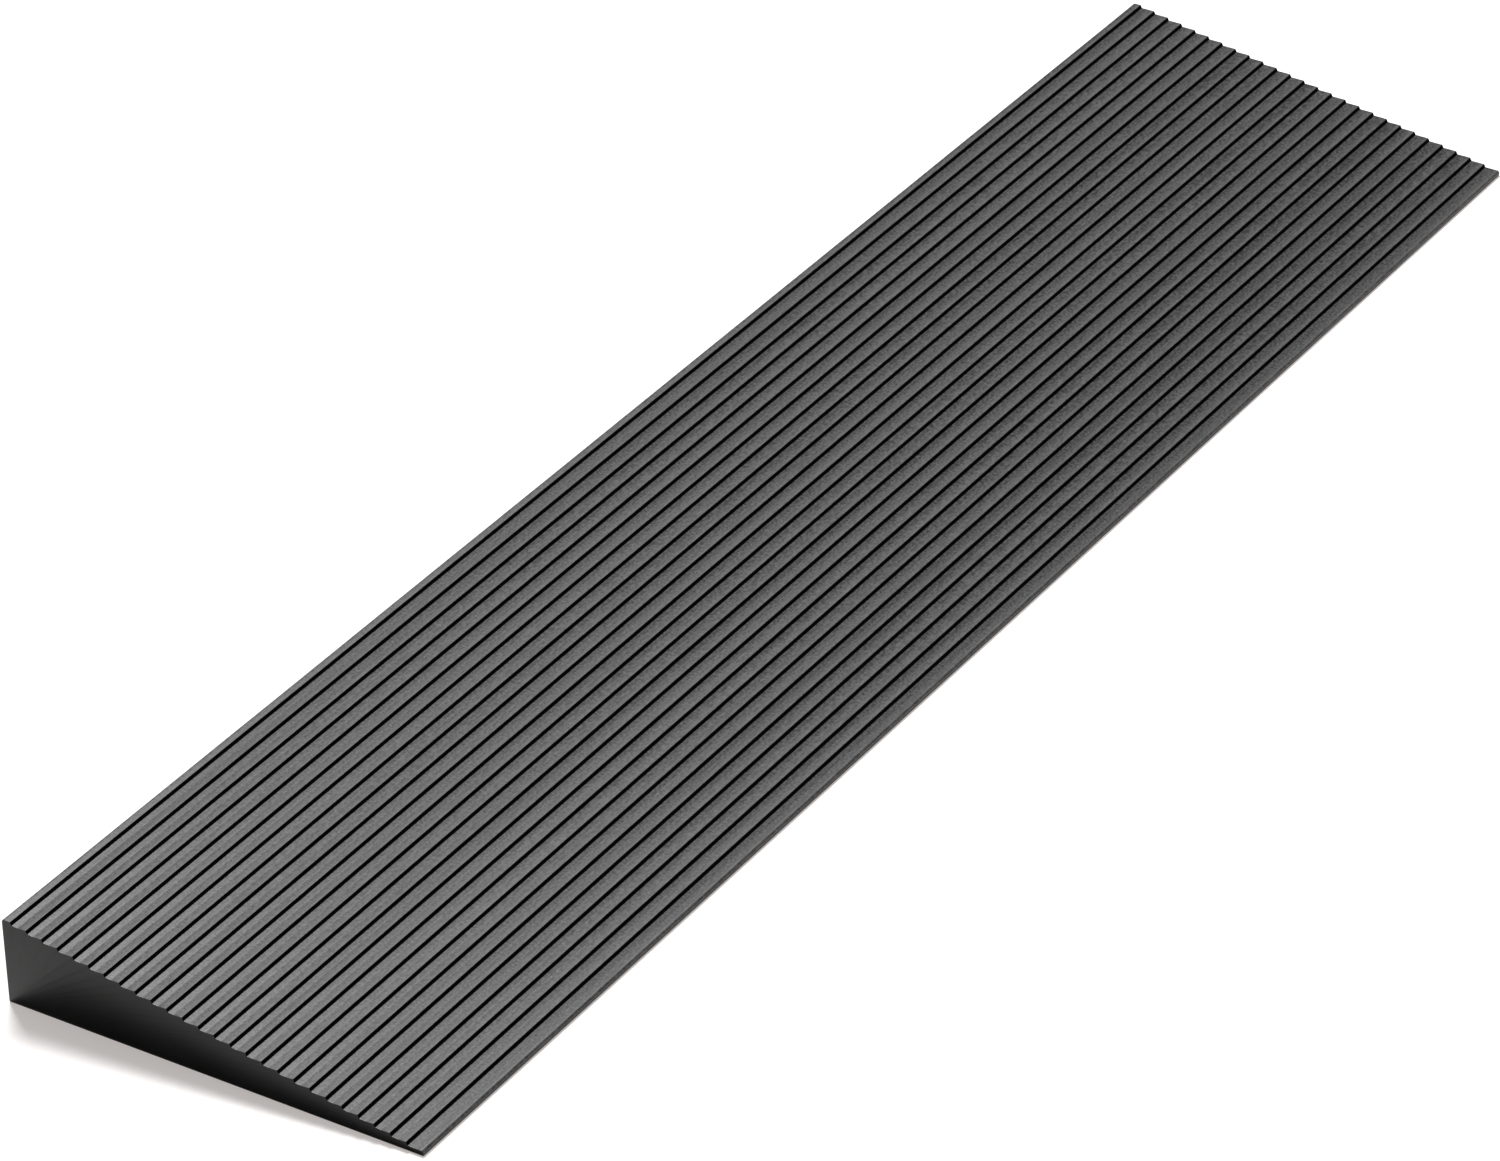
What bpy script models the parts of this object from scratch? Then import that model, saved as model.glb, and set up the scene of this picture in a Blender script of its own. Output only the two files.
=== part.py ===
"""Portable wheelchair ramp: a solid rubber threshold wedge with a stepped, ribbed top
and three grip strips bonded into shallow recesses in its underside.

Frame: origin on the floor under the middle of the ramp. +X runs along the wide side of
the ramp, +Y runs up the slope towards the high back face, +Z is up. Metres.
"""
import math

import bmesh
import bpy
from mathutils import Matrix, Vector

# Wedge
WIDTH = 0.900              # along X, the way across the doorway
DEPTH = 0.201              # along Y, the way a wheel travels
HEIGHT = 0.040             # top of the back face
NOSE_HEIGHT = 0.0025       # thickness left at the front lip

# Ribs on the slope: level treads joined by short, steep risers
RISER_COUNT = 26
FIRST_TREAD = 0.0043       # the narrow tread along the back edge
LAST_TREAD = 0.0081        # the slightly wider tread that ends at the nose
RISER_RUN = 0.0006         # how far a riser leans forward
CREST_RADIUS = 0.0003      # front edge of a tread
VALLEY_RADIUS = 0.0003     # foot of a riser
BACK_EDGE_RADIUS = 0.0012  # top edge of the back face
LIP_RADIUS = 0.0008        # top edge of the nose
FOOT_RADIUS = 0.0004       # the two bottom edges

# Grip strips and their recesses
STRIP_LENGTH = 0.840
STRIP_WIDTH = 0.024
STRIP_THICKNESS = 0.0015
STRIP_CORNER = 0.004       # corner radius seen from below
STRIP_EDGE = 0.0003        # small chamfer round the upper and lower faces
STRIP_GAP = 0.0003         # clearance to the recess, at the sides and above
STRIP_ROWS = {             # name and centre line, from the nose to the back face
    "grip_strip_front": -0.062,
    "grip_strip_middle": 0.003,
    "grip_strip_rear": 0.068,
}
CUTTER_DROP = 0.002        # how far a recess cutter reaches below the underside

ARC_STEPS = 3              # straight pieces in one rounded corner of the ribs
PLAN_ARC_STEPS = 6         # straight pieces in one corner of a strip

WEDGE_RUBBER = ((0.028, 0.028, 0.029), 0.55)
STRIP_RUBBER = ((0.045, 0.045, 0.047), 0.80)


def remove_everything():
    for item in list(bpy.data.objects):
        bpy.data.objects.remove(item, do_unlink=True)


def make_material(name, look):
    colour, roughness = look
    material = bpy.data.materials.new(name)
    material.use_nodes = True
    shader = material.node_tree.nodes["Principled BSDF"]
    shader.inputs["Base Color"].default_value = (*colour, 1.0)
    shader.inputs["Roughness"].default_value = roughness
    shader.inputs["Metallic"].default_value = 0.0
    material.diffuse_color = (*colour, 1.0)
    return material


def rounded_corner(before, corner, after, radius, steps):
    """Points of the arc that rounds one corner of an outline."""
    arm_in = (before - corner).normalized()
    arm_out = (after - corner).normalized()
    half_angle = arm_in.angle(arm_out) / 2
    tangent_length = radius / math.tan(half_angle)
    centre = corner + (arm_in + arm_out).normalized() * (radius / math.sin(half_angle))
    start = corner + arm_in * tangent_length - centre
    end = corner + arm_out * tangent_length - centre
    sweep = start.angle_signed(end)
    points = []
    for step in range(steps + 1):
        turn = Matrix.Rotation(-sweep * step / steps, 2)
        points.append(centre + turn @ start)
    return points


def rounded_outline(corners, steps):
    """Closed outline through (point, radius) corners; radius 0 keeps a corner sharp."""
    outline = []
    count = len(corners)
    for index, (corner, radius) in enumerate(corners):
        before = corners[index - 1][0]
        after = corners[(index + 1) % count][0]
        if radius == 0:
            outline.append(corner)
        else:
            outline.extend(rounded_corner(before, corner, after, radius, steps))
    return outline


def wedge_corners():
    """Corners of the wedge's cross-section as (y, z) vectors with their radii."""
    back = DEPTH / 2
    pitch = (DEPTH - FIRST_TREAD - LAST_TREAD) / (RISER_COUNT - 1)
    drop = (HEIGHT - NOSE_HEIGHT) / RISER_COUNT
    corners = [
        (Vector((back, 0.0)), FOOT_RADIUS),
        (Vector((back, HEIGHT)), BACK_EDGE_RADIUS),
    ]
    for riser in range(RISER_COUNT):
        crest_y = back - FIRST_TREAD - riser * pitch
        tread_z = HEIGHT - riser * drop
        corners.append((Vector((crest_y, tread_z)), CREST_RADIUS))
        corners.append((Vector((crest_y - RISER_RUN, tread_z - drop)), VALLEY_RADIUS))
    corners.append((Vector((-back, NOSE_HEIGHT)), LIP_RADIUS))
    corners.append((Vector((-back, 0.0)), FOOT_RADIUS))
    return corners


def prism(name, points, direction):
    """Mesh of one planar outline pushed along a direction, closed at both ends."""
    mesh = bpy.data.meshes.new(name)
    shape = bmesh.new()
    loop = [shape.verts.new(point) for point in points]
    face = shape.faces.new(loop)
    swept = bmesh.ops.extrude_face_region(shape, geom=[face])
    moved = [item for item in swept["geom"] if isinstance(item, bmesh.types.BMVert)]
    bmesh.ops.translate(shape, verts=moved, vec=direction)
    bmesh.ops.recalc_face_normals(shape, faces=shape.faces)
    shape.to_mesh(mesh)
    shape.free()
    return mesh


def shade(mesh):
    mesh.shade_smooth()
    mesh.set_sharp_from_angle(angle=math.radians(35))


def add_object(name, mesh, parent, location=(0.0, 0.0, 0.0)):
    item = bpy.data.objects.new(name, mesh)
    bpy.context.scene.collection.objects.link(item)
    item.location = location
    item.parent = parent
    return item


def rounded_rectangle(length, width, corner_radius, height):
    """Plan outline of a strip or a recess at one height."""
    x = length / 2
    y = width / 2
    corners = [
        (Vector((sx * x, sy * y)), corner_radius)
        for sx, sy in ((1, 1), (1, -1), (-1, -1), (-1, 1))
    ]
    outline = rounded_outline(corners, PLAN_ARC_STEPS)
    return [Vector((point.x, point.y, height)) for point in outline]


def build_wedge(parent, material):
    outline = rounded_outline(wedge_corners(), ARC_STEPS)
    section = [Vector((-WIDTH / 2, point.x, point.y)) for point in outline]
    mesh = prism("ramp_wedge", section, Vector((WIDTH, 0.0, 0.0)))
    wedge = add_object("ramp_wedge", mesh, parent)
    wedge.data.materials.append(material)
    return wedge


def cut_recess(wedge, row_name, centre_y, parent):
    """Sink one shallow recess for a grip strip into the underside of the wedge."""
    depth = STRIP_THICKNESS + STRIP_GAP
    outline = rounded_rectangle(
        STRIP_LENGTH + 2 * STRIP_GAP,
        STRIP_WIDTH + 2 * STRIP_GAP,
        STRIP_CORNER + STRIP_GAP,
        -CUTTER_DROP,
    )
    mesh = prism(row_name + "_recess", outline, Vector((0.0, 0.0, CUTTER_DROP + depth)))
    cutter = add_object(row_name + "_recess", mesh, parent, (0.0, centre_y, 0.0))
    cutter.hide_render = True
    cutter.display_type = "WIRE"
    cut = wedge.modifiers.new(row_name + "_recess", "BOOLEAN")
    cut.operation = "DIFFERENCE"
    cut.solver = "EXACT"
    cut.object = cutter


def build_strip(name, centre_y, parent, material):
    outline = rounded_rectangle(STRIP_LENGTH, STRIP_WIDTH, STRIP_CORNER, 0.0)
    mesh = prism(name, outline, Vector((0.0, 0.0, STRIP_THICKNESS)))
    strip = add_object(name, mesh, parent, (0.0, centre_y, 0.0))
    strip.data.materials.append(material)
    chamfer = strip.modifiers.new("edge", "BEVEL")
    chamfer.width = STRIP_EDGE
    chamfer.segments = 1
    chamfer.limit_method = "ANGLE"
    chamfer.angle_limit = math.radians(60)
    shade(strip.data)
    return strip


def build():
    remove_everything()
    ramp = bpy.data.objects.new("ramp", None)
    bpy.context.scene.collection.objects.link(ramp)
    wedge = build_wedge(ramp, make_material("wedge_rubber", WEDGE_RUBBER))
    strip_material = make_material("grip_rubber", STRIP_RUBBER)
    for row_name, centre_y in STRIP_ROWS.items():
        cut_recess(wedge, row_name, centre_y, ramp)
        build_strip(row_name, centre_y, ramp, strip_material)
    shade(wedge.data)


build()
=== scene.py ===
"""Looks of the portable wheelchair ramp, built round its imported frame. Metres, +Z up."""
import math

import bmesh
import bpy
import numpy as np
from mathutils import Euler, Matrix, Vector, noise


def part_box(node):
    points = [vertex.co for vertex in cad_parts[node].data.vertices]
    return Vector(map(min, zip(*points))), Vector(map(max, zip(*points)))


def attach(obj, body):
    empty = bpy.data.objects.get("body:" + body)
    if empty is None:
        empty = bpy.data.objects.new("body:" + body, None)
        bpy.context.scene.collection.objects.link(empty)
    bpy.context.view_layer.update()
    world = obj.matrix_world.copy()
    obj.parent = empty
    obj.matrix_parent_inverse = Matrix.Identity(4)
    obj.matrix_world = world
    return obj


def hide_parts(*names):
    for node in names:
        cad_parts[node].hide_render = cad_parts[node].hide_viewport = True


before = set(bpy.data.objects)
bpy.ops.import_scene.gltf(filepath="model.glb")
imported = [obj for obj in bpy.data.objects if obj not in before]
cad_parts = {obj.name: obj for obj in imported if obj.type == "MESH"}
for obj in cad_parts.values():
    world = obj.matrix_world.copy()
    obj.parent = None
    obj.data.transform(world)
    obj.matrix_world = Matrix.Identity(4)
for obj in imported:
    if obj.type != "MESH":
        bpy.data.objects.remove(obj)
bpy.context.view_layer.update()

MM = 0.001
WEDGE_LOW, WEDGE_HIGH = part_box("ramp_wedge")

# Ribs: level treads joined by short, steep risers
RISER_COUNT = 26
NOSE_HEIGHT = 2.5 * MM
FIRST_TREAD = 4.3 * MM
LAST_TREAD = 8.1 * MM
RISER_RUN = 0.6 * MM
CREST_RADIUS = 0.45 * MM
CREST_SHARE = 0.4          # share of a crest's arc that has its tread's surface
VALLEY_RADIUS = 0.4 * MM
VALLEY_SHARE = 0.6         # share of a valley's arc that has its riser's surface and painted shade
BACK_EDGE_RADIUS = 1.2 * MM
LIP_RADIUS = 1.2 * MM
FOOT_RADIUS = 0.4 * MM
END_RADIUS = 0.12 * MM     # edges round the two end faces
DISH_PLACE = 0.41          # lowest line of a tread, as a share of the way to its crest
DISH_DEPTH = 0.25 * MM
DISH_RADIUS = 4.0 * MM
LEVEL_REACH = 9.0 * MM     # stretch at the far end where the dish fades out

# Fineness of the wedge's mesh: pieces in each arc and run of the outline, then its stations
ARC_STEPS = 6
HALF_TREAD_STEPS = 5       # on each side of a tread's lowest line
RISER_STEPS = 2
FACE_STEPS = 6
END_STEPS = 4
LEVEL_STEPS = 6
STATION_PITCH = 10 * MM
END_HOLD = 0.05 * MM       # from the rounded end to the first plain station
TOUCH = 0.001 * MM
SHARP_ANGLE = math.radians(40)

# Small unevenness of the moulding. Each pattern is its noise's features per metre along x
# and y, and the height of the slice through it.
CREST_WOBBLE = 0.05 * MM
WOBBLE_PATTERN = (18, 120, 1.7)
TREAD_WAVE = 0.025 * MM
WAVE_PATTERN = (30, 400, 8.3)

WEAR_AND_HIGHLIGHT_PLACE = 1.05 * MM     # middle of the lighter band behind each crest: wear and painted highlight
WEAR_AND_HIGHLIGHT_REACH = 0.65 * MM

# Recesses and grip strips under the wedge
STRIPS = ("grip_strip_front", "grip_strip_middle", "grip_strip_rear")
STRIP_CORNER = 4.0 * MM
STRIP_GAP = 0.3 * MM
RIM_RADIUS = 0.25 * MM
STRIP_EDGE = 0.35 * MM
GRIP_PITCH = 3.0 * MM
GRIP_DEPTH = 0.45 * MM
PLAN_ARC_STEPS = 8
STRIP_STATIONS = 60        # along the straight part of a strip
STRIP_CORNER_STEPS = 16
GRIP_STEPS = 96            # points across a strip
EDGE_CROWDING = 0.15       # how far those points crowd towards its edges

# Streaks, grain and wear of the treads, and the painted highlight behind each crest
GRAIN_WEIGHT = 2.1
STREAK_WEIGHT = 0.4
RIB_WEIGHT = 0.55          # for the differences from one rib to the next
SHADE_RANGE = (1.2, 2.2)
TREAD_GREY = 0.1
TONE_SLOPE = 0.4           # brighter towards the back, per metre
SCUFF_PLACE = (0.43, 0.51)     # where polish gives way to scuffing, as shares of a tread
SCUFF_RAGGED = 0.12
SCUFF_TONE = -0.02
SCUFF_ROUGHNESS = (0.285, 0.4)     # polished, scuffed
RIB_GLOSS = 0.5
GLOSS_RANGE = (0.45, 1.05)
GLOSS_FACTOR = (1.08, 0.92)
# Lighter band behind each crest: partly wear, partly a painted highlight of the crest
WEAR_AND_HIGHLIGHT_GREY = 0.09
WEAR_AND_HIGHLIGHT_STRENGTH = 0.85
WEAR_AND_HIGHLIGHT_PATCHES = (0.3, 1.0)

UNIT = (0.0, 1.0)
NOISE_SPAN = (0.3, 0.7)    # most of a noise texture's values
PATCH_SPAN = (0.35, 0.65)
DUST_SPAN = (0.4, 0.7)

# Studio
FLOOR_REACH = 15.0
FLOOR_DROP = 0.1 * MM      # just clear of the underside
FLOOR_LAP = 2 * MM         # from the ramp's outline in to the window's
FLOOR_GREY = 0.75
FLOOR_GLOW = (0.296, 0.27, 0.258)
BACKDROP_RADIUS = 30.0
# Black card that paints a shadow's dark reflection into the near end's satin face
CARD_LIFT = 0.05 * MM
CARD_CORNERS_MM = (        # from the near end's lower back corner
    (-0.2, -0.2), (-30.0, -10.4), (-28.0, -50.0), (-19.0, -100.0),
    (-12.0, -150.0), (-3.0, -200.0), (-0.2, -200.0),
)
SURROUND = 0.4

# Camera
CAMERA_PLACE = Vector((-2.19504, -1.40395, 1.63139))
CAMERA_AZIMUTH = math.radians(-56.8747)
CAMERA_ELEVATION = math.radians(32.2923)
CAMERA_ROLL = math.radians(-1.4822)
CAMERA_LENS = 168.6
CAMERA_SHIFT = (-0.01124, 0.00148)

TREAD, RISER, SIDE, UNDER = range(4)   # material slots of the wedge


# ---------------------------------------------------------------- outline of the wedge

def rounded_corner(before, corner, after, radius, steps):
    """Points of the arc that rounds one corner of an outline."""
    arm_in = (before - corner).normalized()
    arm_out = (after - corner).normalized()
    half_angle = arm_in.angle(arm_out) / 2
    centre = corner + (arm_in + arm_out).normalized() * (radius / math.sin(half_angle))
    start = corner + arm_in * (radius / math.tan(half_angle)) - centre
    end = corner + arm_out * (radius / math.tan(half_angle)) - centre
    sweep = start.angle(end)
    points = []
    for step in range(steps + 1):
        share = step / steps
        mixed = start * math.sin((1 - share) * sweep) + end * math.sin(share * sweep)
        points.append(centre + mixed / math.sin(sweep))
    return points


def tread_edges():
    """Where along Y each tread ends at its front edge, from the back one to the nose."""
    back, nose = WEDGE_HIGH.y, WEDGE_LOW.y
    return [*np.linspace(back - FIRST_TREAD, nose + LAST_TREAD, RISER_COUNT), nose]


def lowest_line(foot, edge):
    """Y of the lowest line of the tread between a riser's foot and the tread's edge."""
    return foot + (edge - foot) * DISH_PLACE


def wedge_corners():
    """Corners (y, z) of the cross-section, each with its radius, the share of its arc that
    belongs to the surface before it, the surface of the straight run after it and the
    number of pieces in that run."""
    back = WEDGE_HIGH.y
    height = WEDGE_HIGH.z
    drop = (height - NOSE_HEIGHT) / RISER_COUNT
    edges = tread_edges()
    corners = [
        (Vector((back, 0.0)), FOOT_RADIUS, 0.0, SIDE, FACE_STEPS),
        (Vector((back, height)), BACK_EDGE_RADIUS, 0.0, TREAD, HALF_TREAD_STEPS),
    ]
    for riser in range(RISER_COUNT):
        crest = Vector((edges[riser], height - riser * drop))
        foot = crest - Vector((RISER_RUN, drop))
        dish = Vector((lowest_line(foot.x, edges[riser + 1]), foot.y - DISH_DEPTH))
        corners.append((crest, CREST_RADIUS, CREST_SHARE, RISER, RISER_STEPS))
        corners.append((foot, VALLEY_RADIUS, VALLEY_SHARE, TREAD, HALF_TREAD_STEPS))
        corners.append((dish, DISH_RADIUS, 0.0, TREAD, HALF_TREAD_STEPS))
    corners.append((Vector((-back, NOSE_HEIGHT)), LIP_RADIUS, 1.0, SIDE, RISER_STEPS))
    corners.append((Vector((-back, 0.0)), FOOT_RADIUS, 1.0, UNDER, 1))
    return corners


def crowded(step, steps):
    """Share of the way at a step, with the steps crowded towards both ends."""
    return (1 - math.cos(math.pi * step / steps)) / 2


def dish_depth(y, tread, edges):
    """How deep in the dish of its tread a point is. The first tread has no dish."""
    if tread == 0:
        return 0.0
    foot = edges[tread - 1] - RISER_RUN
    places = (edges[tread], lowest_line(foot, edges[tread]), foot)
    return float(np.interp(y, places, (0.0, DISH_DEPTH, 0.0)))


def wedge_outline():
    """The outline's points, the surface after each, and how much of the band of wear and
    painted crest highlight, how far forward on its tread and how deep in the dish each is."""
    corners = wedge_corners()
    arcs = []
    for index, (corner, radius, *_) in enumerate(corners):
        before = corners[index - 1][0]
        after = corners[(index + 1) % len(corners)][0]
        arcs.append(rounded_corner(before, corner, after, radius, ARC_STEPS))
    points, surfaces = [], []
    surface_before = UNDER
    for index, (_, _, share_before, run_surface, steps) in enumerate(corners):
        arc = arcs[index]
        run_start, run_end = arc[-1], arcs[(index + 1) % len(corners)][0]
        for step, point in enumerate(arc[:-1]):
            points.append(point)
            turned = (step + 0.5) / ARC_STEPS
            surfaces.append(surface_before if turned < share_before else run_surface)
        surface_before = run_surface
        for step in range(steps):
            points.append(run_start.lerp(run_end, crowded(step, steps)))
            surfaces.append(run_surface)
    edges = tread_edges()
    pitch = edges[0] - edges[1]
    band_wear_and_highlight, forward, dips = [], [], []
    for point in points:
        tread = next(i for i, edge in enumerate(edges) if edge <= point.x + TOUCH)
        to_edge = point.x - edges[tread]
        band_wear_and_highlight.append(math.exp(-((to_edge - WEAR_AND_HIGHLIGHT_PLACE) / WEAR_AND_HIGHLIGHT_REACH) ** 2))
        forward.append(1 - to_edge / pitch)
        dips.append(dish_depth(point.x, tread, edges))
    return np.array(points), surfaces, band_wear_and_highlight, forward, dips


def outward_normals(outline):
    """Unit normals of a closed outline that runs anticlockwise round the solid."""
    along = np.roll(outline, -1, axis=0) - np.roll(outline, 1, axis=0)
    normals = np.stack([along[:, 1], -along[:, 0]], axis=1)
    normals /= np.linalg.norm(normals, axis=1)[:, None]
    middle = outline.mean(axis=0)
    if ((outline - middle) * normals).sum() < 0:
        normals = -normals
    return normals


# ---------------------------------------------------------------- mesh of the wedge

def stations():
    """(x, inset) of each cross-section from one end to the other."""
    half = WEDGE_HIGH.x
    rounded = []
    for step in range(END_STEPS + 1):
        angle = math.pi / 2 * step / END_STEPS
        x = half - END_RADIUS * (1 - math.sin(angle))
        rounded.append((x, END_RADIUS * (1 - math.cos(angle))))
    plain_half = half - END_RADIUS - END_HOLD
    level_start = plain_half - LEVEL_REACH
    count = round((level_start + plain_half) / STATION_PITCH)
    places = [*np.linspace(-plain_half, level_start, count + 1)]
    places += [*np.linspace(level_start, plain_half, LEVEL_STEPS + 1)][1:]
    plain = [(x, 0.0) for x in places]
    left = [(-x, inset) for x, inset in reversed(rounded)]
    return left + plain + rounded


def unevenness(x, y, pattern):
    along_x, along_y, height = pattern
    return noise.noise(Vector((x * along_x, y * along_y, height)))


def moulded(x, y, z, upper):
    """Moves a point of the upper surface by the small unevenness of the moulding."""
    if not upper:
        return Vector((x, y, z))
    wobble = CREST_WOBBLE * unevenness(x, y, WOBBLE_PATTERN)
    wave = TREAD_WAVE * unevenness(x, y, WAVE_PATTERN)
    return Vector((x, y + wobble, z + wave))


def plan_ring(centre_y, half_length, half_width, corner, grow, z):
    """Points of a rounded rectangle seen from above, grown outwards by a distance."""
    x, y = half_length + grow, half_width + grow
    corners = [Vector((sx * x, sy * y)) for sx, sy in ((1, 1), (1, -1), (-1, -1), (-1, 1))]
    ring = []
    for index, point in enumerate(corners):
        before, after = corners[index - 1], corners[(index + 1) % 4]
        ring += rounded_corner(before, point, after, corner + grow, PLAN_ARC_STEPS)
    return [Vector((point.x, centre_y + point.y, z)) for point in ring]


def bridge(shape, ring, following, surface):
    """Band of quads between two rings of the same number of vertices."""
    count = len(ring)
    for index in range(count):
        nxt = (index + 1) % count
        face = shape.faces.new((ring[index], ring[nxt], following[nxt], following[index]))
        face.material_index = surface


def sink_recess(shape, strip):
    """Walls and ceiling of the recess that holds one grip strip; gives its rim's edges."""
    low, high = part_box(strip)
    centre_y = (low.y + high.y) / 2
    half_length = (high.x - low.x) / 2 + STRIP_GAP
    half_width = (high.y - low.y) / 2 + STRIP_GAP
    ceiling = high.z + STRIP_GAP
    corner = STRIP_CORNER + STRIP_GAP
    profile = []
    for step in range(ARC_STEPS + 1):
        angle = math.pi / 2 * step / ARC_STEPS
        grow = RIM_RADIUS * (1 - math.sin(angle))
        profile.append((grow, RIM_RADIUS * (1 - math.cos(angle))))
    for step in range(ARC_STEPS + 1):
        angle = math.pi / 2 * step / ARC_STEPS
        grow = RIM_RADIUS * (math.cos(angle) - 1)
        profile.append((grow, ceiling - RIM_RADIUS * (1 - math.sin(angle))))
    rings = []
    for grow, z in profile:
        ring = plan_ring(centre_y, half_length, half_width, corner, grow, z)
        rings.append([shape.verts.new(point) for point in ring])
    for ring, following in zip(rings, rings[1:]):
        bridge(shape, ring, following, UNDER)
    shape.faces.new(rings[-1]).material_index = UNDER
    rim = rings[0]
    return [shape.edges.get((rim[i - 1], rim[i])) for i in range(len(rim))]


def smooth_step(share):
    """Eases a share in and out, and holds it between 0 and 1."""
    share = min(max(share, 0.0), 1.0)
    return share * share * (3 - 2 * share)


def build_wedge():
    outline, surfaces, band_wear_and_highlight, forward, dips = wedge_outline()
    normals = outward_normals(outline)
    count = len(outline)
    shape = bmesh.new()
    wear_and_highlight_layer = shape.verts.layers.float.new("crest_wear_and_highlight")
    across_layer = shape.verts.layers.float.new("across")
    sections = []
    for x, inset in stations():
        ring = []
        levelled = 1 - smooth_step((WEDGE_HIGH.x - x) / LEVEL_REACH)
        for index in range(count):
            y, z = outline[index] - normals[index] * inset
            upper = surfaces[index] in (TREAD, RISER)
            vertex = shape.verts.new(moulded(x, y, z + dips[index] * levelled, upper))
            vertex[wear_and_highlight_layer] = band_wear_and_highlight[index]
            vertex[across_layer] = forward[index]
            ring.append(vertex)
        sections.append(ring)
    last = len(sections) - 1
    for station in range(last):
        at_end = station < END_STEPS or station >= last - END_STEPS
        for index in range(count):
            nxt = (index + 1) % count
            if surfaces[index] == UNDER and not at_end:
                continue
            quad = (
                sections[station][index],
                sections[station][nxt],
                sections[station + 1][nxt],
                sections[station + 1][index],
            )
            shape.faces.new(quad).material_index = surfaces[index]
    ends = [shape.faces.new(ring) for ring in (sections[0], sections[-1])]
    for end in ends:
        end.material_index = SIDE
    open_edges = [edge for edge in shape.edges if edge.is_boundary]
    for strip in STRIPS:
        open_edges += sink_recess(shape, strip)
    filled = bmesh.ops.triangle_fill(shape, use_beauty=True, edges=open_edges)
    for item in filled["geom"]:
        if isinstance(item, bmesh.types.BMFace):
            item.material_index = UNDER
    bmesh.ops.recalc_face_normals(shape, faces=shape.faces)
    for face in shape.faces:
        face.smooth = face not in ends
    return finished_object(shape, "ramp_wedge_moulded")


def linked_object(shape, name):
    """Object from a bmesh, linked to the scene."""
    mesh = bpy.data.meshes.new(name)
    shape.to_mesh(mesh)
    shape.free()
    item = bpy.data.objects.new(name, mesh)
    bpy.context.scene.collection.objects.link(item)
    return item


def finished_object(shape, name):
    """Linked object that is smooth but for its sharp edges."""
    item = linked_object(shape, name)
    item.data.set_sharp_from_angle(angle=SHARP_ANGLE)
    return item


# ---------------------------------------------------------------- grip strips

def strip_half_width(x, half_length, half_width):
    """Half the strip's width at x, which shrinks in the rounded corners."""
    into_corner = abs(x) - (half_length - STRIP_CORNER)
    if into_corner <= 0:
        return half_width
    rest = math.sqrt(max(STRIP_CORNER ** 2 - into_corner ** 2, 0.0))
    return half_width - STRIP_CORNER + rest


def grip_face(y, edge_distance):
    """Height of the strip's ribbed lower face above the floor."""
    rib = 0.5 - 0.5 * math.cos(2 * math.pi * y / GRIP_PITCH)
    lift = GRIP_DEPTH * rib * smooth_step((edge_distance - STRIP_EDGE) / (GRIP_PITCH / 2))
    if edge_distance < STRIP_EDGE:
        inside = STRIP_EDGE - edge_distance
        lift += STRIP_EDGE - math.sqrt(STRIP_EDGE ** 2 - inside ** 2)
    return lift


def build_strip(strip):
    """One grip strip: rings across it, with its ribbed lower face and its flat top."""
    low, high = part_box(strip)
    centre_y = (low.y + high.y) / 2
    half_length = (high.x - low.x) / 2
    half_width = (high.y - low.y) / 2
    top = high.z
    corner_x = []
    for step in range(STRIP_CORNER_STEPS + 1):
        angle = math.pi / 2 * step / STRIP_CORNER_STEPS
        corner_x.append(half_length - STRIP_CORNER * (1 - math.sin(angle)))
    inner = list(np.linspace(-corner_x[0], corner_x[0], STRIP_STATIONS))
    places = [-x for x in reversed(corner_x[1:])] + inner + corner_x[1:]
    shape = bmesh.new()
    rings = []
    for x in places:
        reach = strip_half_width(x, half_length, half_width)
        ring = []
        for step in range(GRIP_STEPS + 1):
            even = step / GRIP_STEPS
            across = even + (crowded(step, GRIP_STEPS) - even) * EDGE_CROWDING
            y = reach * (2 * across - 1)
            edge_distance = min(reach - abs(y), half_length - abs(x))
            z = low.z + grip_face(y, max(edge_distance, 0.0))
            ring.append(shape.verts.new((x, centre_y + y, z)))
        ring.append(shape.verts.new((x, centre_y + reach, top)))
        ring.append(shape.verts.new((x, centre_y - reach, top)))
        rings.append(ring)
    for ring, following in zip(rings, rings[1:]):
        bridge(shape, ring, following, 0)
    shape.faces.new(rings[0])
    shape.faces.new(rings[-1])
    bmesh.ops.recalc_face_normals(shape, faces=shape.faces)
    for face in shape.faces:
        face.smooth = True
    return finished_object(shape, strip + "_ribbed")


# ---------------------------------------------------------------- materials

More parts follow.
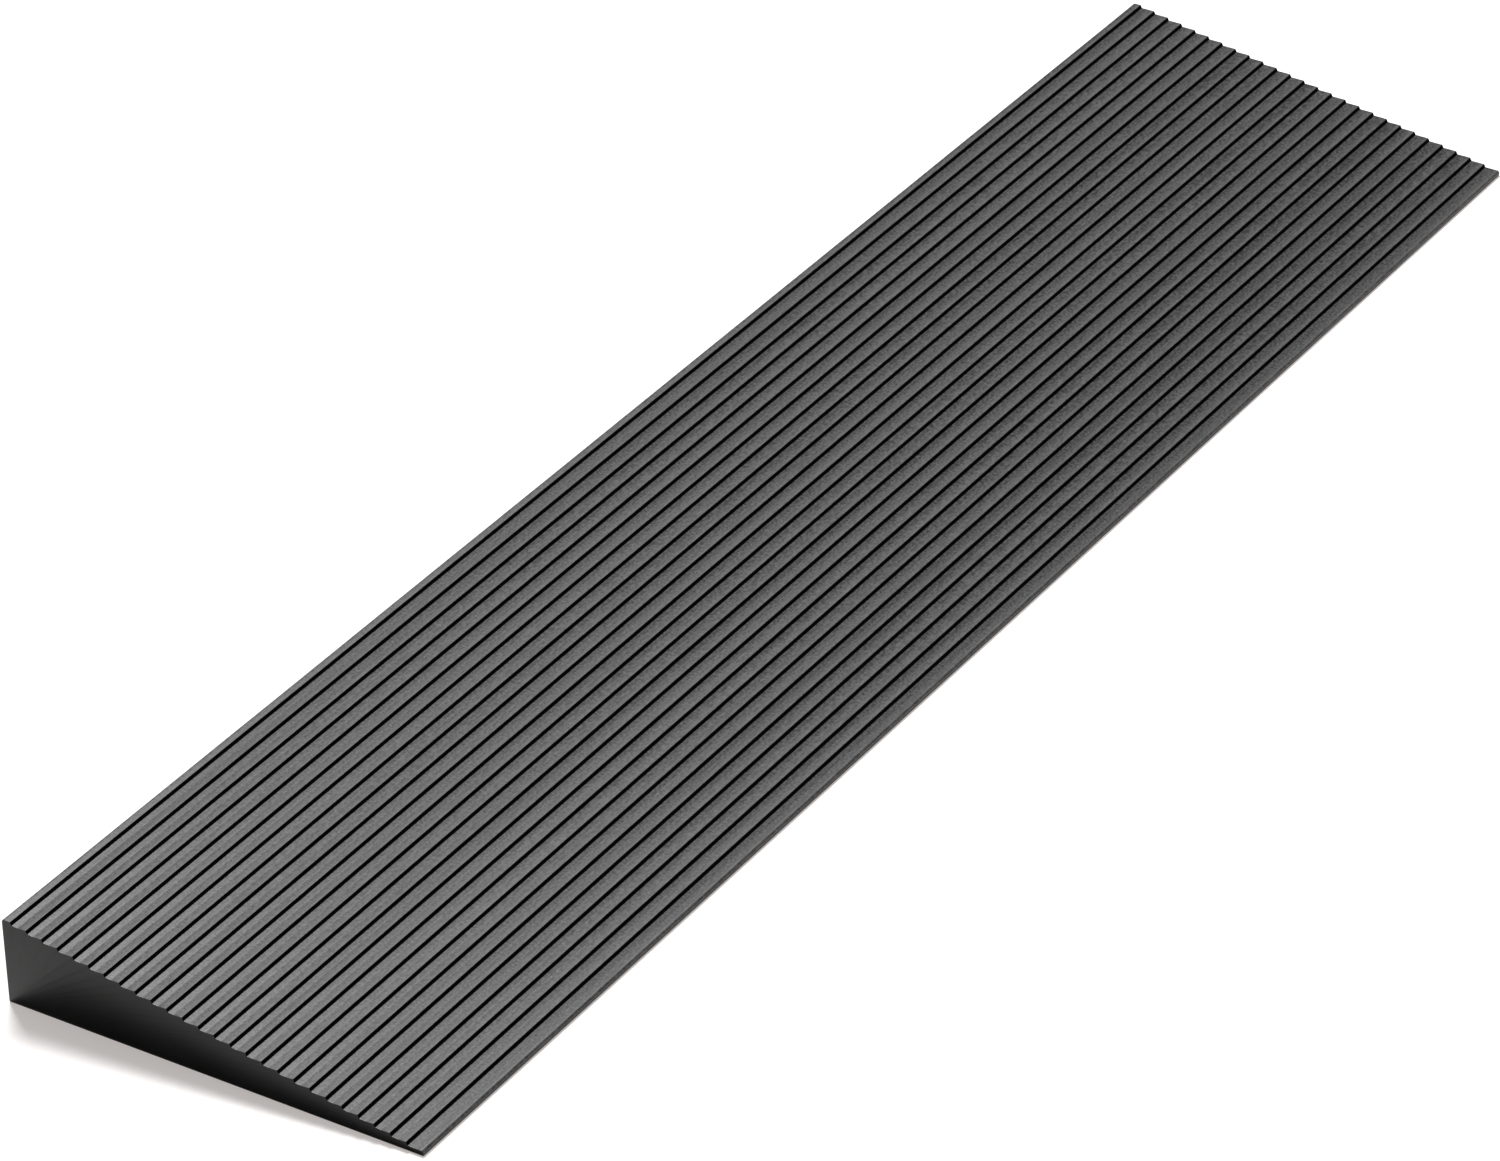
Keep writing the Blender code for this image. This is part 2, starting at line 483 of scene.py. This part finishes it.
class Nodes:
    """Short ways to add and join the nodes of one material."""

    def __init__(self, name, roughness, specular):
        self.material = bpy.data.materials.new(name)
        self.material.use_nodes = True
        self.tree = self.material.node_tree
        self.shader = self.tree.nodes["Principled BSDF"]
        self.shader.inputs["Roughness"].default_value = roughness
        self.shader.inputs["Specular IOR Level"].default_value = specular
        place = self.tree.nodes.new("ShaderNodeTexCoord")
        self.place = place.outputs["Object"]

    def join(self, source, target):
        if isinstance(source, (int, float)):
            target.default_value = source
        else:
            self.tree.links.new(source, target)

    def noise(self, size, detail=3.0, roughness=0.55, stretch=(1.0, 1.0, 1.0), shift=0.0):
        """Noise whose features are about size metres, times stretch along each axis."""
        mapping = self.tree.nodes.new("ShaderNodeMapping")
        mapping.inputs["Scale"].default_value = [1 / (size * s) for s in stretch]
        mapping.inputs["Location"].default_value = (shift, shift, shift)
        self.join(self.place, mapping.inputs["Vector"])
        texture = self.tree.nodes.new("ShaderNodeTexNoise")
        texture.inputs["Scale"].default_value = 1.0
        texture.inputs["Detail"].default_value = detail
        texture.inputs["Roughness"].default_value = roughness
        self.join(mapping.outputs["Vector"], texture.inputs["Vector"])
        return texture.outputs["Fac"]

    def along_y(self):
        """Distance in front of the ramp's middle (negative) or behind it, in metres."""
        split = self.tree.nodes.new("ShaderNodeSeparateXYZ")
        self.join(self.place, split.inputs["Vector"])
        return split.outputs["Y"]

    def cells(self, size):
        """Rounded cells about size metres across."""
        texture = self.tree.nodes.new("ShaderNodeTexVoronoi")
        texture.inputs["Scale"].default_value = 1 / size
        self.join(self.place, texture.inputs["Vector"])
        return texture.outputs["Distance"]

    def math(self, operation, a, b, c=0.0):
        node = self.tree.nodes.new("ShaderNodeMath")
        node.operation = operation
        for source, socket in zip((a, b, c), node.inputs):
            self.join(source, socket)
        return node.outputs["Value"]

    def weighted(self, value, weight, rest):
        """Rest plus weight times value."""
        return self.math("MULTIPLY_ADD", value, weight, rest)

    def remap(self, value, source, target=UNIT):
        """Value moved from one span to another and held inside it."""
        node = self.tree.nodes.new("ShaderNodeMapRange")
        for number, name in (
            (value, "Value"),
            (source[0], "From Min"),
            (source[1], "From Max"),
            (target[0], "To Min"),
            (target[1], "To Max"),
        ):
            self.join(number, node.inputs[name])
        return node.outputs["Result"]

    def attribute(self, name):
        node = self.tree.nodes.new("ShaderNodeAttribute")
        node.attribute_name = name
        return node.outputs["Fac"]

    def mix(self, share, first, second):
        node = self.tree.nodes.new("ShaderNodeMix")
        node.data_type = "RGBA"
        self.join(share, node.inputs["Factor"])
        for value, socket in ((first, node.inputs["A"]), (second, node.inputs["B"])):
            if isinstance(value, tuple):
                socket.default_value = (*value, 1.0)
            else:
                self.join(value, socket)
        return node.outputs["Result"]

    def bump(self, height, distance, under=None):
        node = self.tree.nodes.new("ShaderNodeBump")
        node.inputs["Strength"].default_value = 1.0
        node.inputs["Distance"].default_value = distance
        self.join(height, node.inputs["Height"])
        if under is not None:
            self.join(under, node.inputs["Normal"])
        return node.outputs["Normal"]

    def finish(self, colour, roughness, normal):
        self.join(colour, self.shader.inputs["Base Color"])
        self.join(roughness, self.shader.inputs["Roughness"])
        self.join(normal, self.shader.inputs["Normal"])
        return self.material


def grey(level):
    return (level, level, level)


def along_ribs(times):
    """Stretch of a noise along the ribs."""
    return (times, 1.0, 1.0)


def tread_rubber():
    """Ribbed upper face: near-black rubber, grained and streaked along the ribs, polished at
    the rear of each tread and scuffed at its front, with a lighter band behind each crest that
    is partly wear and partly a painted highlight."""
    nodes = Nodes("tread_rubber", roughness=0.3, specular=0.5)
    grain = nodes.noise(1.2 * MM, detail=2.0, roughness=0.6, shift=3.0)
    streak = nodes.noise(0.9 * MM, roughness=0.6, stretch=along_ribs(30.0))
    rib = nodes.noise(7 * MM, detail=1.0, roughness=0.5, stretch=along_ribs(120.0), shift=7.0)
    shade = nodes.math("MULTIPLY", grain, GRAIN_WEIGHT)
    shade = nodes.weighted(streak, STREAK_WEIGHT, shade)
    shade = nodes.weighted(rib, RIB_WEIGHT, shade)
    gloss = nodes.weighted(rib, RIB_GLOSS, streak)
    place = nodes.weighted(streak, SCUFF_RAGGED, nodes.attribute("across"))
    scuffed = nodes.remap(place, SCUFF_PLACE)
    tone = nodes.remap(shade, SHADE_RANGE)
    tone = nodes.weighted(scuffed, SCUFF_TONE, tone)
    tone = nodes.weighted(nodes.along_y(), TONE_SLOPE, tone)
    colour = nodes.mix(tone, grey(0.0), grey(TREAD_GREY))
    # Lighter band behind each crest: partly wear, partly a painted highlight of the crest
    patches = nodes.noise(2.0 * MM, roughness=0.6, stretch=along_ribs(4.0))
    band_patches = nodes.remap(patches, PATCH_SPAN, WEAR_AND_HIGHLIGHT_PATCHES)
    band_wear_and_highlight = nodes.math("MULTIPLY", nodes.attribute("crest_wear_and_highlight"), band_patches)
    band_wear_and_highlight = nodes.math("MULTIPLY", band_wear_and_highlight, WEAR_AND_HIGHLIGHT_STRENGTH)
    colour = nodes.mix(band_wear_and_highlight, colour, grey(WEAR_AND_HIGHLIGHT_GREY))
    polish = nodes.remap(scuffed, UNIT, SCUFF_ROUGHNESS)
    roughness = nodes.math("MULTIPLY", polish, nodes.remap(gloss, GLOSS_RANGE, GLOSS_FACTOR))
    streak_bump = nodes.bump(streak, distance=0.02 * MM)
    normal = nodes.bump(grain, distance=0.01 * MM, under=streak_bump)
    return nodes.finish(colour, roughness, normal)


def riser_rubber_painted_shade():
    """Risers and the corners at their feet: dull and unpolished, coloured near black as painted
    shade, much darker than the same rubber on the treads.
    """
    nodes = Nodes("riser_rubber_painted_shade", roughness=0.8, specular=0.02)
    grain = nodes.noise(0.6 * MM, roughness=0.6)
    # Painted shade: a near-black copy of the treads' rubber for these shaded faces and creases
    colour = nodes.mix(grain, grey(0.001), grey(0.003))
    roughness = nodes.remap(grain, NOISE_SPAN, (0.75, 0.85))
    return nodes.finish(colour, roughness, nodes.bump(grain, distance=0.03 * MM))


def side_rubber():
    """Ends, back and nose: smooth satin rubber."""
    nodes = Nodes("side_rubber", roughness=0.44, specular=0.39)
    cloud = nodes.noise(35 * MM, roughness=0.5)
    grain = nodes.noise(0.5 * MM, roughness=0.6)
    colour = nodes.mix(nodes.remap(cloud, NOISE_SPAN), grey(0.005), grey(0.007))
    roughness = nodes.remap(cloud, NOISE_SPAN, (0.425, 0.455))
    return nodes.finish(colour, roughness, nodes.bump(grain, distance=0.008 * MM))


def under_rubber():
    """Underside: matte, a little dusty, with a pebbled mould texture."""
    nodes = Nodes("under_rubber", roughness=0.7, specular=0.4)
    pebble = nodes.cells(1.6 * MM)
    dust = nodes.noise(25 * MM, detail=5.0, roughness=0.65)
    colour = nodes.mix(nodes.remap(dust, DUST_SPAN), grey(0.018), (0.04, 0.039, 0.037))
    roughness = nodes.remap(dust, NOISE_SPAN, (0.62, 0.78))
    return nodes.finish(colour, roughness, nodes.bump(pebble, distance=0.08 * MM))


def grip_rubber():
    """Soft dark grey rubber of the grip strips."""
    nodes = Nodes("grip_rubber", roughness=0.8, specular=0.35)
    grain = nodes.noise(0.45 * MM, roughness=0.65)
    dust = nodes.noise(18 * MM, detail=5.0, roughness=0.65, stretch=along_ribs(3.0))
    clean, dusty = (0.055, 0.055, 0.057), (0.1, 0.098, 0.094)
    colour = nodes.mix(nodes.remap(dust, DUST_SPAN), clean, dusty)
    roughness = nodes.remap(grain, NOISE_SPAN, (0.72, 0.86))
    return nodes.finish(colour, roughness, nodes.bump(grain, distance=0.05 * MM))


# ---------------------------------------------------------------- studio

def floor_material():
    """Pale and faintly, warmly glowing seen from above, and clear seen from below."""
    nodes = Nodes("pale_floor", roughness=0.9, specular=0.1)
    nodes.shader.inputs["Base Color"].default_value = (*grey(FLOOR_GREY), 1.0)
    nodes.shader.inputs["Emission Color"].default_value = (*FLOOR_GLOW, 1.0)
    nodes.shader.inputs["Emission Strength"].default_value = 1.0
    front = nodes.shader.outputs["BSDF"]
    geometry = nodes.tree.nodes.new("ShaderNodeNewGeometry")
    clear = nodes.tree.nodes.new("ShaderNodeBsdfTransparent")
    mixer = nodes.tree.nodes.new("ShaderNodeMixShader")
    nodes.join(geometry.outputs["Backfacing"], mixer.inputs["Fac"])
    nodes.join(front, mixer.inputs[1])
    nodes.join(clear.outputs["BSDF"], mixer.inputs[2])
    nodes.join(mixer.outputs["Shader"], nodes.tree.nodes["Material Output"].inputs["Surface"])
    return nodes.material


def flat_black(name):
    """Material that reflects nothing, and its shader."""
    material = bpy.data.materials.new(name)
    material.use_nodes = True
    shader = material.node_tree.nodes["Principled BSDF"]
    shader.inputs["Base Color"].default_value = (*grey(0.0), 1.0)
    shader.inputs["Specular IOR Level"].default_value = 0.0
    return material, shader


def build_floor():
    """Pale floor with a window under the ramp, so that the underside can be lit and seen."""
    shape = bmesh.new()
    rims = []
    window = (WEDGE_HIGH.x - FLOOR_LAP, WEDGE_HIGH.y - FLOOR_LAP)
    for x, y in ((FLOOR_REACH, FLOOR_REACH), window):
        corners = ((-x, -y), (x, -y), (x, y), (-x, y))
        rims.append([shape.verts.new((px, py, -FLOOR_DROP)) for px, py in corners])
    bridge(shape, *rims, 0)
    for face in shape.faces:
        face.normal_update()
        if face.normal.z < 0:
            face.normal_flip()
    floor = linked_object(shape, "floor")
    floor.data.materials.append(floor_material())


def build_backdrop():
    """Plain pale surround that only the camera sees."""
    shape = bmesh.new()
    bmesh.ops.create_icosphere(shape, subdivisions=4, radius=BACKDROP_RADIUS)
    backdrop = linked_object(shape, "backdrop")
    material, shader = flat_black("pale_backdrop")
    shader.inputs["Emission Color"].default_value = (*grey(1.0), 1.0)
    shader.inputs["Emission Strength"].default_value = 1.0
    backdrop.data.materials.append(material)
    backdrop.visible_diffuse = False
    backdrop.visible_glossy = False
    backdrop.visible_transmission = False
    backdrop.visible_volume_scatter = False
    backdrop.visible_shadow = False


def build_painted_shadow_card():
    """Black card on the floor beside the near end, seen only in that end's satin reflection,
    where it paints a dark reflection of a shadow that the floor does not show there.
    """
    x, y = WEDGE_LOW.x, WEDGE_HIGH.y
    corners = [(x + dx * MM, y + dy * MM, CARD_LIFT) for dx, dy in CARD_CORNERS_MM]
    shape = bmesh.new()
    shape.faces.new([shape.verts.new(corner) for corner in corners])
    card = linked_object(shape, "painted_shadow_card")
    card.data.materials.append(flat_black("painted_shadow_black")[0])
    card.visible_camera = False
    card.visible_diffuse = False
    card.visible_shadow = False
    card.visible_transmission = False


def softbox(name, azimuth, elevation, distance, side, power):
    """Square area light aimed at the origin. In degrees; azimuth 0 is along +X, 90 along +Y."""
    turn, lift = math.radians(azimuth), math.radians(elevation)
    level = math.cos(lift)
    away = Vector((math.cos(turn) * level, math.sin(turn) * level, math.sin(lift)))
    light = bpy.data.lights.new(name, "AREA")
    light.shape = "RECTANGLE"
    light.size, light.size_y = side, side
    light.energy = power
    lamp = bpy.data.objects.new(name, light)
    bpy.context.scene.collection.objects.link(lamp)
    lamp.location = away * distance
    lamp.rotation_mode = "QUATERNION"
    lamp.rotation_quaternion = away.to_track_quat("Z", "Y")
    lamp.visible_camera = False


def build_lights():
    """Key light above and behind, a light that only the underside receives, and a surround."""
    softbox("key", azimuth=54.7, elevation=61.3, distance=3.0, side=0.9, power=109.0)
    softbox("under", azimuth=36, elevation=-80, distance=3.0, side=2.5, power=150.0)
    world = bpy.data.worlds.new("studio")
    world.use_nodes = True
    background = world.node_tree.nodes["Background"]
    background.inputs["Color"].default_value = (*grey(1.0), 1.0)
    background.inputs["Strength"].default_value = SURROUND
    bpy.context.scene.world = world


def build_camera():
    data = bpy.data.cameras.new("camera")
    data.sensor_width = 36.0
    data.lens = CAMERA_LENS
    data.shift_x, data.shift_y = CAMERA_SHIFT
    data.clip_start = 0.05
    data.clip_end = 200.0
    camera = bpy.data.objects.new("camera", data)
    bpy.context.scene.collection.objects.link(camera)
    camera.location = CAMERA_PLACE
    level = Euler((math.pi / 2 - CAMERA_ELEVATION, 0.0, CAMERA_AZIMUTH)).to_matrix()
    roll = Euler((0.0, 0.0, CAMERA_ROLL)).to_matrix()
    camera.rotation_euler = (level @ roll).to_euler()
    bpy.context.scene.camera = camera


# ---------------------------------------------------------------- assembly

build_camera()
build_lights()
build_floor()
build_backdrop()
build_painted_shadow_card()
bpy.context.scene.view_settings.view_transform = "Standard"

wedge = build_wedge()
for make in (tread_rubber, riser_rubber_painted_shade, side_rubber, under_rubber):
    wedge.data.materials.append(make())
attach(wedge, "root")
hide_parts("ramp_wedge")

strip_material = grip_rubber()
for strip in STRIPS:
    ribbed = build_strip(strip)
    ribbed.data.materials.append(strip_material)
    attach(ribbed, "root")
    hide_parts(strip)
